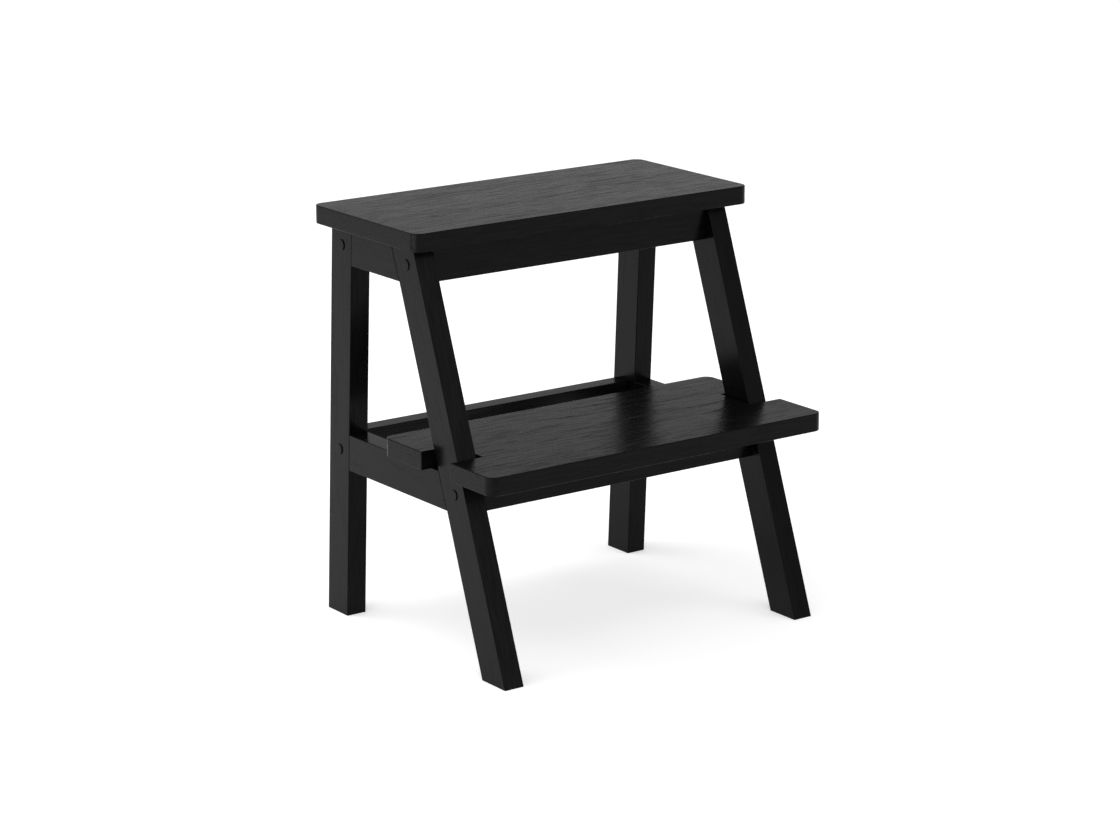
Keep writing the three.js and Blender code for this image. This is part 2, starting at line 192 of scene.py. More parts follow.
class StoolHardware(bpy.types.PropertyGroup):
    """Caps, bolts, barrel nuts, dowels and screws."""

    cap_height: size("Cap height", 1.2, "How far a cap stands out of the leg")
    cap_edge: size("Cap edge", 0.25, "Radius of a cap's rounded rim")
    cap_undercut: size("Cap undercut", 0.4, "How far a cap's side slopes in towards the leg")
    cap_crown: size("Cap crown", 0.06, "Rise of a cap's face from rim to middle")
    bolt_diameter: size("Bolt diameter", 6, "Diameter of a bolt's shank")
    bolt_head_height: size("Bolt head height", 6, "Height of a bolt's head")
    bolt_thread_length: size("Bolt thread length", 30, "Threaded length of a bolt")
    bolt_pitch: size("Bolt pitch", 1.0, "Rise of a bolt's thread in one turn")
    hex_width: size("Hex socket width", 5, "Width across the flats of a bolt's socket")
    hex_depth: size("Hex socket depth", 3, "Depth of a bolt's socket")
    nut_slot_width: size("Nut slot width", 1.4, "Width of the slot in a barrel nut's end")
    nut_slot_depth: size("Nut slot depth", 1.5, "Depth of the slot in a barrel nut's end")
    dowel_flutes: count("Dowel flutes", 14, "Glue grooves round a dowel")
    dowel_flute_depth: size("Flute depth", 0.3, "Depth of a dowel's glue grooves")
    dowel_chamfer: size("Dowel chamfer", 1.0, "Chamfer at each end of a dowel")
    screw_diameter: size("Screw diameter", 4.5, "Diameter over a screw's thread")
    screw_head_height: size("Screw head height", 3, "Height of a screw's head")
    screw_tip: size("Screw tip", 6, "Length of a screw's pointed end")
    screw_pitch: size("Screw pitch", 2.0, "Rise of a screw's thread in one turn")
    drive_length: size("Drive length", 5, "Length of the cross slots in a screw's head")
    drive_width: size("Drive width", 1.2, "Width of the cross slots in a screw's head")
    drive_depth: size("Drive depth", 1.6, "Depth of the cross slots in a screw's head")


class StoolFinish(bpy.types.PropertyGroup):
    """Colours and surfaces."""

    stain: colour("Stain", (0.0012, 0.0012, 0.0012), "Black stain in the open grain")
    stain_light: colour("Light stain", (0.0034, 0.0034, 0.0033), "Black stain on the dense grain")
    # painted shade: a near-black colour laid along every rounded edge, standing in for the shade that the
    # edges catch
    painted_edge_shade: colour("Painted edge shade", (0.0003, 0.0003, 0.0003), "Darker black painted along the rounded edges as shade")
    stain_worn: colour("Worn stain", (0.0065, 0.0062, 0.0058), "Black stain thinned by handling")
    ring_spacing: size("Ring spacing", 4.4, "Distance between growth rings")
    grain_relief: size("Grain relief", 0.055, "Depth of the open grain under the lacquer")
    frame_openness: factor("Frame openness", 0.5, "How open the frame's grain is beside the boards'")
    lacquer_roughness: factor("Lacquer roughness", 0.185, "Roughness of the satin lacquer on dense grain")
    lacquer_shine: factor("Lacquer shine", 0.077, "Strength of the lacquer's reflection, seen square on")
    grain_roughness: factor("Open grain roughness", 0.24, "Roughness that open grain adds")
    worn_edges: factor("Worn edges", 0.3, "Share of the edges that handling has thinned")
    beech: colour("Bare wood", (0.55, 0.37, 0.21), "Plain turned beech of the dowels")
    zinc: colour("Zinc plate", (0.66, 0.67, 0.68), "Bright zinc on bolts, nuts and screws")


class StoolStage(bpy.types.PropertyGroup):
    """Camera, floor and light."""

    azimuth: angle("Azimuth", -35.573, "Turn of the camera round the stool, from the climbing side")
    elevation: angle("Elevation", 15.084, "Height of the camera above the horizon")
    roll: angle("Roll", -0.323, "Turn of the picture about the line of sight")
    distance: size("Distance", 3915, "Distance from the camera to its target")
    target: point("Target", (-0.0111, 0.0, 0.2406), "Point that the camera looks at")
    lens: FloatProperty(name="Lens", description="Focal length, in millimetres", default=106.4, min=1.0)
    floor_radius: size("Floor radius", 18000, "Radius of the round floor")
    floor_colour: colour("Floor", (0.8, 0.8, 0.8), "Paint of the floor")
    floor_glow: light("Floor glow", 0.42, "Light that the floor adds of its own")
    horizon: light("Horizon", 1.0, "Brightness of the room at the horizon")
    overhead_left: light("Overhead left", 1.4, "Brightness overhead, before the stool and to the left")
    overhead_right: light("Overhead right", 0.4, "Brightness overhead, before the stool and to the right")
    overhead_behind: light("Overhead behind", 0.48, "Brightness overhead, behind the stool")
    high_lamp_place: point("High lamp", (-0.9, 1.0, 1.7), "Middle of the high lamp, behind at the left")
    high_lamp_side: size("High lamp side", 1600, "Length of each side of the high lamp")
    high_lamp_power: power("High lamp power", 20.0, "Power of the high lamp")
    side_lamp_place: point("Side lamp", (-1.6, -0.1, 0.24), "Middle of the low lamp, at the left")
    side_lamp_height: size("Side lamp height", 400, "Height of the side lamp")
    side_lamp_width: size("Side lamp width", 1300, "Width of the side lamp")
    side_lamp_power: power("Side lamp power", 4.6, "Power of the side lamp")


GROUPS = {
    "stool_timber": StoolTimber,
    "stool_joinery": StoolJoinery,
    "stool_hardware": StoolHardware,
    "stool_finish": StoolFinish,
    "stool_stage": StoolStage,
}


# ---- Reading the frame -----------------------------------------------------------------------
def span_at(node, height):
    """Front and back of a node's corners at a height."""
    corners = [v.co.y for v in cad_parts[node].data.vertices if abs(v.co.z - height) < HAIR]
    return min(corners), max(corners)


def middle(node):
    """A node's middle, and how far it reaches from there along each axis."""
    low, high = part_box(node)
    return (low + high) / 2, (high - low) / 2


def blend(start, end, share):
    return start + (end - start) * share


class Leg:
    """A raked leg's straight faces: its place across, and its front and back at any height."""

    def __init__(self, node):
        low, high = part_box(node)
        self.node = node
        self.side = 1 if low.x > 0 else -1
        self.low_x, self.high_x = low.x, high.x
        self.inner, self.outer = sorted((low.x, high.x), key=abs)
        self.bottom, self.top = low.z, high.z
        self.foot = span_at(node, low.z)
        self.head = span_at(node, high.z)

    def face(self, index, z):
        return blend(self.foot[index], self.head[index], (z - self.bottom) / (self.top - self.bottom))

    def front(self, z):
        return self.face(0, z)

    def back(self, z):
        return self.face(1, z)

    def centre(self, z):
        return (self.front(z) + self.back(z)) / 2

    def along(self):
        """Direction of the leg's grain, foot to head."""
        lean = self.centre(self.top) - self.centre(self.bottom)
        return Vector((0, lean, self.top - self.bottom)).normalized()


LEVELS = ("top", "lower")
ENDS = ("front", "rear")
LEGS = {(end, side): Leg(f"{end}_leg_{side}") for end in ENDS for side in SIDES}


# ---- Mesh building ---------------------------------------------------------------------------
def flat(u, v, w):
    """A plan outline with its thickness upwards."""
    return u, v, w


def sideways(u, v, w):
    """An outline seen from the side, with its thickness along X."""
    return w, u, v


def frontal(u, v, w):
    """An outline seen from the front, with its thickness along Y."""
    return u, w, v


def rectangle(low_u, low_v, high_u, high_v):
    return [(low_u, low_v), (high_u, low_v), (high_u, high_v), (low_u, high_v)]


def prism(outline, start, end, place):
    """A solid with a flat outline, from one level of its thickness to another."""
    bm = bmesh.new()
    near = [bm.verts.new(place(u, v, start)) for u, v in outline]
    far = [bm.verts.new(place(u, v, end)) for u, v in outline]
    bm.faces.new(near)
    bm.faces.new(far)
    for i in range(len(outline)):
        bm.faces.new((near[i - 1], near[i], far[i], far[i - 1]))
    bmesh.ops.recalc_face_normals(bm, faces=bm.faces)
    return bm


def soften(bm, radius):
    """Rounds the sharp outward edges, and marks the rounded faces in the layer 'rubbed', which masks the
    painted edge shade and the wear.
    """
    shade_and_wear_edge = bm.faces.layers.float.new("shade_and_wear_edge")
    edges = [e for e in bm.edges if e.is_convex and e.calc_face_angle() > SHARP]
    made = bmesh.ops.bevel(
        bm,
        geom=edges,
        offset=radius,
        offset_type="OFFSET",
        segments=EDGE_STEPS,
        profile=0.5,
        affect="EDGES",
        clamp_overlap=True,
    )
    for face in made["faces"]:
        face[shade_and_wear_edge] = 1.0
    return bm


def turned(profile, segments, origin, axis, relief=None):
    """A solid turned from (radius, height) or (radius, height, cut) rows about an axis at an origin.

    relief(height, turn) is the share of a row's cut that is taken off at a turn from 0 to 1.
    """
    bm = bmesh.new()
    rings = []
    for radius, height, *cut in profile:
        ring = []
        for i in range(segments):
            turn = i / segments
            depth = cut[0] * relief(height, turn) if cut else 0.0
            bearing = 2 * math.pi * turn
            reach = radius - depth
            ring.append(bm.verts.new((reach * math.cos(bearing), reach * math.sin(bearing), height)))
        rings.append(ring)
    bm.faces.new(rings[0])
    bm.faces.new(rings[-1])
    for below, above in zip(rings, rings[1:]):
        for i in range(segments):
            bm.faces.new((below[i - 1], below[i], above[i], above[i - 1]))
    turn_to_axis = Vector(axis).to_track_quat("Z", "Y").to_matrix().to_4x4()
    bmesh.ops.transform(bm, matrix=Matrix.Translation(origin) @ turn_to_axis, verts=bm.verts)
    bmesh.ops.recalc_face_normals(bm, faces=bm.faces)
    return bm


def bore(mouth, into, radius, depth, flare=0.0):
    """A drill's shape: from a mouth on a face, straight in, with a chamfered mouth."""
    profile = [(radius + flare, -CUTTER_REACH), (radius + flare, 0.0), (radius, flare), (radius, depth)]
    if not flare:
        profile = [(radius, -CUTTER_REACH), (radius, depth)]
    return turned(profile, BORE_SEGMENTS, mouth, into)


def to_object(name, bm):
    mesh = bpy.data.meshes.new(name)
    bm.to_mesh(mesh)
    bm.free()
    made = bpy.data.objects.new(name, mesh)
    bpy.context.scene.collection.objects.link(made)
    return made


def carve(piece, cutters, operation="DIFFERENCE"):
    """Cuts, or joins, each of the bmesh cutters into a piece, for good."""
    tools = [to_object("cutter", cutter) for cutter in cutters]
    for tool in tools:
        modifier = piece.modifiers.new("cut", "BOOLEAN")
        modifier.operation = operation
        modifier.solver = "EXACT"
        modifier.object = tool
    depsgraph = bpy.context.evaluated_depsgraph_get()
    whole = piece.data
    piece.data = bpy.data.meshes.new_from_object(piece.evaluated_get(depsgraph))
    piece.modifiers.clear()
    bpy.data.meshes.remove(whole)
    for tool in tools:
        mesh = tool.data
        bpy.data.objects.remove(tool)
        bpy.data.meshes.remove(mesh)
    return piece


def lay_grain(piece, along, across, log):
    """Writes where each corner lay in the log: metres along, across and through the grain."""
    axes = (along, across, along.cross(across))
    layer = piece.data.attributes.new("grain", "FLOAT_VECTOR", "POINT")
    centre = sum((Vector(corner) for corner in piece.bound_box), Vector()) / 8
    for vertex, place in zip(piece.data.vertices, layer.data):
        offset = vertex.co - centre
        place.vector = [offset.dot(axis) + shift for axis, shift in zip(axes, log)]


def finish(piece, node, material, grain):
    """Lays a piece's grain, gives it its finish, and has it stand for its node and ride with the stool."""
    lay_grain(piece, *grain)
    mesh = piece.data
    mesh.name = piece.name
    mesh.materials.clear()
    mesh.materials.append(material)
    mesh.polygons.foreach_set("use_smooth", [True] * len(mesh.polygons))
    mesh.set_sharp_from_angle(angle=SHARP)
    shading = piece.modifiers.new("Even shading", "WEIGHTED_NORMAL")
    shading.keep_sharp = True
    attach(piece, BODY)
    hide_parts(node)


# ---- Shader wiring ---------------------------------------------------------------------------
class Wiring:
    """Adds nodes to one tree, in columns from left to right, and joins them."""

    COLUMN = 190

    def __init__(self, tree):
        self.tree = tree

    def add(self, kind, inputs=None, **settings):
        node = self.tree.nodes.new(kind)
        node.location.x = self.COLUMN * len(self.tree.nodes)
        for name, value in settings.items():
            setattr(node, name, value)
        for name, value in (inputs or {}).items():
            self.join(value, node.inputs[name])
        return node

    def join(self, value, socket):
        """Links another node's socket to this one, or sets this one's value."""
        if isinstance(value, bpy.types.NodeSocket):
            self.tree.links.new(value, socket)
        elif socket.type == "RGBA":
            socket.default_value = (*value, 1.0)
        else:
            socket.default_value = value

    def math(self, operation, *values):
        return self.add("ShaderNodeMath", dict(enumerate(values)), operation=operation).outputs[0]

    def plus(self, first, second):
        return self.math("ADD", first, second)

    def minus(self, first, second):
        return self.math("SUBTRACT", first, second)

    def times(self, first, second):
        return self.math("MULTIPLY", first, second)

    def vector(self, operation, *values, output=0):
        node = self.add("ShaderNodeVectorMath", dict(enumerate(values)), operation=operation)
        return node.outputs[output]

    def ramp(self, value, start, end, low=0.0, high=1.0):
        """A smooth rise from low to high as value goes from start to end."""
        inputs = {"Value": value, "From Min": start, "From Max": end, "To Min": low, "To Max": high}
        node = self.add("ShaderNodeMapRange", inputs, interpolation_type="SMOOTHSTEP")
        return node.outputs["Result"]

    def mix_colour(self, share, first, second):
        """Two colours mixed; the node's sockets go by number, because several share a name."""
        inputs = {0: share, 6: first, 7: second}
        return self.add("ShaderNodeMix", data_type="RGBA", inputs=inputs).outputs[2]

    def noise(self, place, scale, detail=2.0, output="Fac"):
        inputs = {"Vector": place, "Scale": scale, "Detail": detail}
        return self.add("ShaderNodeTexNoise", inputs).outputs[output]

    def drawn_out(self, place, fineness, detail=2.0, output="Fac"):
        """Noise with one scale along the grain and another across it."""
        along, across = fineness
        stretched = self.vector("MULTIPLY", place, (along, across, across))
        return self.noise(stretched, 1.0, detail, output)

    def grain_place(self):
        return self.add("ShaderNodeAttribute", attribute_name="grain").outputs["Vector"]

    def bump(self, shader, height, depth, strength=1.0):
        """Raises a shader's surface by a height times a depth in metres."""
        inputs = {"Strength": strength, "Distance": depth, "Height": height}
        self.join(self.add("ShaderNodeBump", inputs).outputs["Normal"], shader.inputs["Normal"])


def bare_tree(owner):
    """Empties the node tree of a material or a world, and returns its wiring."""
    owner.use_nodes = True
    owner.node_tree.nodes.clear()
    return Wiring(owner.node_tree)


def new_group(name, inputs, outputs):
    """A shader node group with named sockets; returns it, its wiring, and its in and out nodes."""
    group = bpy.data.node_groups.new(name, "ShaderNodeTree")
    for socket_name, (kind, default, description) in inputs.items():
        socket = group.interface.new_socket(socket_name, in_out="INPUT", socket_type=kind)
        socket.description = description
        if default is not None:
            socket.default_value = default
    for socket_name in outputs:
        group.interface.new_socket(socket_name, in_out="OUTPUT", socket_type="NodeSocketFloat")
    wiring = Wiring(group)
    return group, wiring, wiring.add("NodeGroupInput"), wiring.add("NodeGroupOutput")


def once(make):
    """Keeps what a maker of groups or materials returns, so that it is built once."""
    kept = {}

    def get():
        if "made" not in kept:
            kept["made"] = make()
        return kept["made"]

    return get


# ---- Grain, stain and zinc -------------------------------------------------------------------
# How fine each layer of noise is: its scale along the grain, and across it
DRIFT = (2.2, 7.0)  # slow drift over the whole board
WAVER = (9.0, 30.0)  # wavering over a hand's width
RAGGED = (30.0, 120.0)  # ragged edges of the rings
BROKEN = (20.0, 180.0)  # breaks in the open wood of a ring
BUNDLES = (26.0, 400.0)  # bundles of fibres
FIGURE = (4.0, 26.0)  # broad, cloudy figure
SCRATCHES = (3000.0, 120.0)  # fine lines on steel
CLOUD_SCALE = 260.0  # dull clouds on steel, as fine along as across
HALF = (0.5, 0.5, 0.5)  # middle of a noise's colour
WAVER_SHARE = (0.3, 0.3, 0.3)  # how far the grain wavers beside how far it drifts
ACROSS = (0.0, 1.0, 1.0)  # what leaves a place's distance from the log's middle line

# Shares of the way from one ring to the next where a ring's open early wood starts and ends
RING_OPENS = (0.0, 0.08)
RING_CLOSES = (0.1, 0.4)

# Levels of a noise, or of a ring's openness, between which a mark goes from faint to full
STRONG_RINGS = (0.3, 0.9)
RING_BREAKS = (0.42, 0.58)
PORE_PITS = (0.5, 0.66)
PORES_IN_RING = (0.0, 0.6)
STREAK_EDGES = (0.36, 0.6)
FIGURE_CLOUDS = (0.3, 0.7)
FAINT_RING = 0.35  # how strong a mark is where it is faint
FAINT_BREAK = 0.08
FAINT_PORES = 0.25
WEAR_START = 0.75  # level of noise from which an edge is worn when the amount of wear is 0
WEAR_RANGE = 0.4  # how far that level falls when the amount is 1

# Shares of the dulling and of the relief that each mark of the grain gives to stained wood
PORE_DULLING = 0.5
GAP_DULLING = 0.6
RING_HOLLOW = 0.35
PORE_HOLLOW = 0.5
STREAK_RISE = 0.7
FIGURE_ROUGHNESS = (-0.02, 0.03)  # roughness that broad figure and worn edges add
WORN_ROUGHNESS = -0.05
LACQUER_IOR = 1.5

# Bare beech: how much rings and pores darken it, its darkest flecks beside its colour, and its surface
BEECH_RINGS = 0.5
BEECH_PORES = 0.4
BEECH_DARKEST = 0.6
BEECH_STREAKS = (0.2, 0.8)
BEECH_ROUGHNESS = (0.58, 0.76)
BEECH_RELIEF = 0.05 * MM

# Zinc plate: its dullest clouds beside its colour, its roughness and its scratches
ZINC_DULLEST = 0.72
ZINC_ROUGHNESS = 0.14
CLOUD_ROUGHNESS = 0.2
SCRATCH_ROUGHNESS = 0.15
SCRATCH_DEPTH = 0.02 * MM


@once
def sawn_grain():
    """Growth rings, open pores, fibre bundles and broad figure of solid wood, from a place in the log."""
    group, w, given, result = new_group(
        "Sawn Grain",
        {
            "Place": ("NodeSocketVector", None, "Metres along, across and through the grain"),
            "Ring Spacing": ("NodeSocketFloat", 4.4 * MM, "Distance between growth rings"),
            "Waviness": ("NodeSocketFloat", 22 * MM, "How far the rings stray from round"),
            "Raggedness": ("NodeSocketFloat", 1.2 * MM, "How far a ring's edges are ragged"),
            "Pore Length": ("NodeSocketFloat", 14 * MM, "Length of a pore along the grain"),
            "Pore Width": ("NodeSocketFloat", 1.2 * MM, "Width of a pore"),
        },
        ["Rings", "Pores", "Streaks", "Figure"],
    )
    place = given.outputs["Place"]

    # the grain strays: it drifts slowly over the board, and wavers over a hand's width
    slow = w.vector("SUBTRACT", w.drawn_out(place, DRIFT, output="Color"), HALF)
    waver = w.vector("SUBTRACT", w.drawn_out(place, WAVER, output="Color"), HALF)
    stray = w.vector("ADD", slow, w.vector("MULTIPLY", waver, WAVER_SHARE))
    reach = {0: stray, "Scale": given.outputs["Waviness"]}
    stray = w.add("ShaderNodeVectorMath", reach, operation="SCALE").outputs[0]
    strayed = w.vector("ADD", place, stray)
    ragged = w.minus(w.drawn_out(place, RAGGED, detail=3.0), 0.5)
    ragged = w.times(ragged, given.outputs["Raggedness"])

    # each ring opens sharply, closes slowly, differs in strength from the next, and is broken lengthwise
    radius = w.vector("LENGTH", w.vector("MULTIPLY", strayed, ACROSS), output=1)
    rings_out = w.math("DIVIDE", w.plus(radius, ragged), given.outputs["Ring Spacing"])
    share = w.math("FRACT", rings_out)
    ring = w.math("FLOOR", rings_out)
    strength = w.add("ShaderNodeTexWhiteNoise", {"W": ring}, noise_dimensions="1D").outputs["Value"]
    early = w.times(w.ramp(share, *RING_OPENS), w.ramp(share, *RING_CLOSES, 1.0, 0.0))
    early = w.times(early, w.ramp(strength, *STRONG_RINGS, FAINT_RING))
    broken = w.ramp(w.drawn_out(strayed, BROKEN, detail=3.0), *RING_BREAKS, FAINT_BREAK)
    rings = w.times(early, broken)

    # pores are short slits, clearest in the early wood of each ring
    length, width = given.outputs["Pore Length"], given.outputs["Pore Width"]
    pore = w.add("ShaderNodeCombineXYZ", {"X": length, "Y": width, "Z": width}).outputs[0]
    pits = w.ramp(w.noise(w.vector("DIVIDE", strayed, pore), scale=1.0, detail=1.0), *PORE_PITS)
    pores = w.times(pits, w.ramp(rings, *PORES_IN_RING, FAINT_PORES))
    streaks = w.ramp(w.drawn_out(strayed, BUNDLES, detail=3.0), *STREAK_EDGES)
    figure = w.drawn_out(place, FIGURE)
    for name, value in (("Rings", rings), ("Pores", pores), ("Streaks", streaks), ("Figure", figure)):
        w.join(value, result.inputs[name])
    return group


@once
def edge_shade_and_wear():
    """The rounded edges, where shade is painted as a darker stain, and the uneven patches where handling
    thins the stain.
    """
    group, w, given, result = new_group(
        "Edge Shade and Wear",
        {
            "Place": ("NodeSocketVector", None, "Metres along, across and through the grain"),
            "Amount": ("NodeSocketFloat", 0.3, "Share of the edges that handling has thinned"),
            "Patch Scale": ("NodeSocketFloat", 40.0, "How many patches fit in a metre"),
            "Patch Fade": ("NodeSocketFloat", 0.12, "How softly a patch ends"),
        },
        ["Edge", "Worn"],
    )
    # mask of the rounded edges: it carries the painted edge shade, and with the patches below, the wear
    edge = w.add("ShaderNodeAttribute", attribute_name="shade_and_wear_edge").outputs["Fac"]
    uneven = w.noise(given.outputs["Place"], given.outputs["Patch Scale"], detail=4.0)
    lowered = w.times(given.outputs["Amount"], WEAR_RANGE)
    threshold = w.minus(WEAR_START, lowered)
    patches = w.ramp(uneven, threshold, w.plus(threshold, given.outputs["Patch Fade"]))
    w.join(edge, result.inputs["Edge"])
    w.join(w.times(edge, patches), result.inputs["Worn"])
    return group


def new_material(name):
    material = bpy.data.materials.new(name)
    wiring = bare_tree(material)
    shader = wiring.add("ShaderNodeBsdfPrincipled")
    wiring.add("ShaderNodeOutputMaterial", {"Surface": shader.outputs[0]})
    return material, wiring, shader


def wired_group(w, make, inputs):
    """Places a shared node group in a material, and returns its outputs."""
    return w.add("ShaderNodeGroup", inputs, node_tree=make()).outputs


def stained_wood(name, openness):
    """Black-stained hardwood under satin lacquer; openness is how strongly its grain shows."""
    look = bpy.context.scene.stool_finish
    material, w, shader = new_material(name)
    place = w.grain_place()
    grain = wired_group(w, sawn_grain, {"Place": place, "Ring Spacing": look.ring_spacing})
    edges = wired_group(w, edge_shade_and_wear, {"Place": place, "Amount": look.worn_edges})
    gaps = w.minus(1.0, grain["Streaks"])  # between the bundles of fibres

    dense = w.times(w.minus(1.0, grain["Rings"]), grain["Streaks"])
    stain = w.mix_colour(dense, look.stain, look.stain_light)
    # painted shade: every rounded edge is darkened to near black
    stain = w.mix_colour(edges["Edge"], stain, look.painted_edge_shade)
    stain = w.mix_colour(edges["Worn"], stain, look.stain_worn)
    w.join(stain, shader.inputs["Base Color"])

    # open grain drinks the lacquer and is duller than the dense wood beside it, and worn edges shine
    open_grain = w.plus(grain["Rings"], w.times(grain["Pores"], PORE_DULLING))
    open_grain = w.plus(open_grain, w.times(gaps, GAP_DULLING))
    rough = w.plus(w.times(open_grain, look.grain_roughness * openness), look.lacquer_roughness)
    rough = w.plus(rough, w.ramp(grain["Figure"], *FIGURE_CLOUDS, *FIGURE_ROUGHNESS))
    w.join(w.plus(rough, w.times(edges["Worn"], WORN_ROUGHNESS)), shader.inputs["Roughness"])

    hollow = w.plus(w.times(grain["Rings"], RING_HOLLOW), w.times(grain["Pores"], PORE_HOLLOW))
    height = w.minus(w.times(grain["Streaks"], STREAK_RISE), hollow)
    w.bump(shader, height, look.grain_relief * openness)
    shader.inputs["IOR"].default_value = LACQUER_IOR
    shader.inputs["Specular IOR Level"].default_value = look.lacquer_shine
    return material


@once
def board_wood():
    return stained_wood("Black stained board", openness=1.0)


@once
def frame_wood():
    return stained_wood("Black stained frame", bpy.context.scene.stool_finish.frame_openness)


@once
def bare_wood():
    """Plain turned beech, fine-grained and dry."""
    beech = bpy.context.scene.stool_finish.beech
    material, w, shader = new_material("Bare beech")
    fine = {"Ring Spacing": 2.5 * MM, "Pore Length": 2 * MM, "Pore Width": 0.3 * MM}
    grain = wired_group(w, sawn_grain, {"Place": w.grain_place(), **fine})
    flecks = w.plus(w.times(grain["Rings"], BEECH_RINGS), w.times(grain["Pores"], BEECH_PORES))
    dark = [BEECH_DARKEST * channel for channel in beech]
    w.join(w.mix_colour(flecks, beech, dark), shader.inputs["Base Color"])
    w.join(w.ramp(grain["Streaks"], *BEECH_STREAKS, *BEECH_ROUGHNESS), shader.inputs["Roughness"])
    w.bump(shader, grain["Streaks"], BEECH_RELIEF, strength=0.6)
    return material


@once
def zinc_steel():
    """Bright zinc plate on steel, faintly clouded and scratched."""
    zinc = bpy.context.scene.stool_finish.zinc
    material, w, shader = new_material("Zinc plate")
    place = w.grain_place()
    clouds = w.noise(place, CLOUD_SCALE, detail=3.0)
    lines = w.drawn_out(place, SCRATCHES)
    dull = [ZINC_DULLEST * channel for channel in zinc]
    w.join(w.mix_colour(clouds, zinc, dull), shader.inputs["Base Color"])
    rough = w.plus(w.times(clouds, CLOUD_ROUGHNESS), w.times(lines, SCRATCH_ROUGHNESS))
    w.join(w.plus(rough, ZINC_ROUGHNESS), shader.inputs["Roughness"])
    w.bump(shader, lines, SCRATCH_DEPTH, strength=0.3)
    shader.inputs["Metallic"].default_value = 1.0
    return material


# ---- Holes and joints that several pieces share ----------------------------------------------
def settings():
    """The stool's sizes: its timber, joinery and hardware."""
    scene = bpy.context.scene
    return scene.stool_timber, scene.stool_joinery, scene.stool_hardware


def draw_log(draw, ranges=TIMBER_LOG):
    """A random place in the log."""
    return [draw.uniform(*limits) for limits in ranges]


def blank(node, outline, start, end, place):
    """A leg or rail with softened edges, before its joints are cut."""
    timber, _, _ = settings()
    return to_object(f"{node}_stained", soften(prism(outline, start, end, place), timber.frame_softness))


def rail_outline(side, level, lengthened, trimmed):
    """A side rail seen from the side, its ends lengthened and its edges trimmed."""
    _, joinery, _ = settings()
    low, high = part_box(f"{level}_side_rail_{side}")
    front, rear = LEGS["front", side], LEGS["rear", side]
    bottom, top = low.z + trimmed, high.z - trimmed

    def front_end(z):
        return front.back(z) + joinery.glue_gap - lengthened

    def rear_end(z):
        return rear.front(z) - joinery.glue_gap + lengthened

    return [
        (front_end(bottom), bottom),
        (rear_end(bottom), bottom),
        (rear_end(top), top),
        (front_end(top), top),
    ]


def tenons(side, level, gap=0.0):
    """Both tenons of a side rail, as one bar through it; with a gap all round, its mortises."""
    _, joinery, _ = settings()
    outline = rail_outline(side, level, joinery.tenon_length + gap, joinery.tenon_shoulder - gap)
    leg = LEGS["front", side]
    centre = (leg.low_x + leg.high_x) / 2
    half = joinery.tenon_thickness / 2 + gap
    return prism(outline, centre - half, centre + half, sideways)


def shank_radius():
    """Radius of the hole round a bolt's shank."""
    _, joinery, hardware = settings()
    return hardware.bolt_diameter / 2 + joinery.glue_gap


def dowel_hole(label, face_x, into):
    """A dowel's hole in a face square to X, half as deep as the dowel is long."""
    _, joinery, _ = settings()
    centre, reach = middle(f"dowel_{label}")
    mouth = Vector((face_x, centre.y, centre.z))
    return bore(mouth, into, reach.z + joinery.glue_gap, reach.x + joinery.glue_gap)


def screws_under(board):
    """The names of the screws that go into a board."""
    return [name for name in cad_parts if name.startswith(f"{board}_screw")]


def screw_ways(rail):
    """For each screw through a rail: a deep hole for its head, then a hole for its shank."""
    _, joinery, hardware = settings()
    low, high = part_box(rail)
    cutters = []
    for name in screws_under("top") + screws_under("step"):
        centre, reach = middle(name)
        seat = centre - Z * reach.z  # middle of the head's underside
        if not all(low[axis] < seat[axis] < high[axis] for axis in range(3)):
            continue
        mouth = Vector((centre.x, centre.y, low.z))
        head_depth = seat.z + hardware.screw_head_height - low.z
        head_radius = reach.x + joinery.head_clearance
        way_radius = hardware.screw_diameter / 2 + joinery.glue_gap
        cutters.append(bore(mouth, Z, head_radius, head_depth, joinery.mouth_flare))
        cutters.append(bore(mouth, Z, way_radius, high.z - low.z + CUTTER_REACH))
    return cutters


def pilot_holes(board):
    """The screws' holes in a board's underside."""
    _, joinery, hardware = settings()
    low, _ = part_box(f"{board}_board")
    radius = hardware.screw_diameter / 2 + joinery.glue_gap
    cutters = []
    for name in screws_under(board):
        centre, reach = middle(name)
        depth = centre.z + reach.z - low.z + joinery.glue_gap
        cutters.append(bore(Vector((centre.x, centre.y, low.z)), Z, radius, depth))
    return cutters


# ---- Boards ----------------------------------------------------------------------------------
def arc(centre_u, centre_v, radius, quarter):
    """A quarter circle, counter-clockwise from a quarter turn of 0, 1, 2 or 3."""
    points = []
    for i in range(CORNER_STEPS + 1):
        bearing = (quarter + i / CORNER_STEPS) * math.pi / 2
        points.append((centre_u + radius * math.cos(bearing), centre_v + radius * math.sin(bearing)))
    return points


def board_outline(low, high, radius, right_notch=(), left_notch=()):
    """A board in plan, counter-clockwise, with the corners of a notch in each end."""
    return [
        *arc(high.x - radius, low.y + radius, radius, 3),
        *right_notch,
        *arc(high.x - radius, high.y - radius, radius, 0),
        *arc(low.x + radius, high.y - radius, radius, 1),
        *left_notch,
        *arc(low.x + radius, low.y + radius, radius, 2),
    ]


def notch(side, low, high):
    """The notch round a front leg, from its corner at the board's front to the one behind the leg."""
    timber, _, _ = settings()
    leg = LEGS["front", side]
    front = leg.front(low.z) - timber.notch_front_gap
    back = leg.back(high.z) + timber.notch_rear_gap
    end = high.x if leg.side > 0 else low.x
    floor = leg.inner - leg.side * timber.notch_side_gap
    return [(end, front), (floor, front), (floor, back), (end, back)]


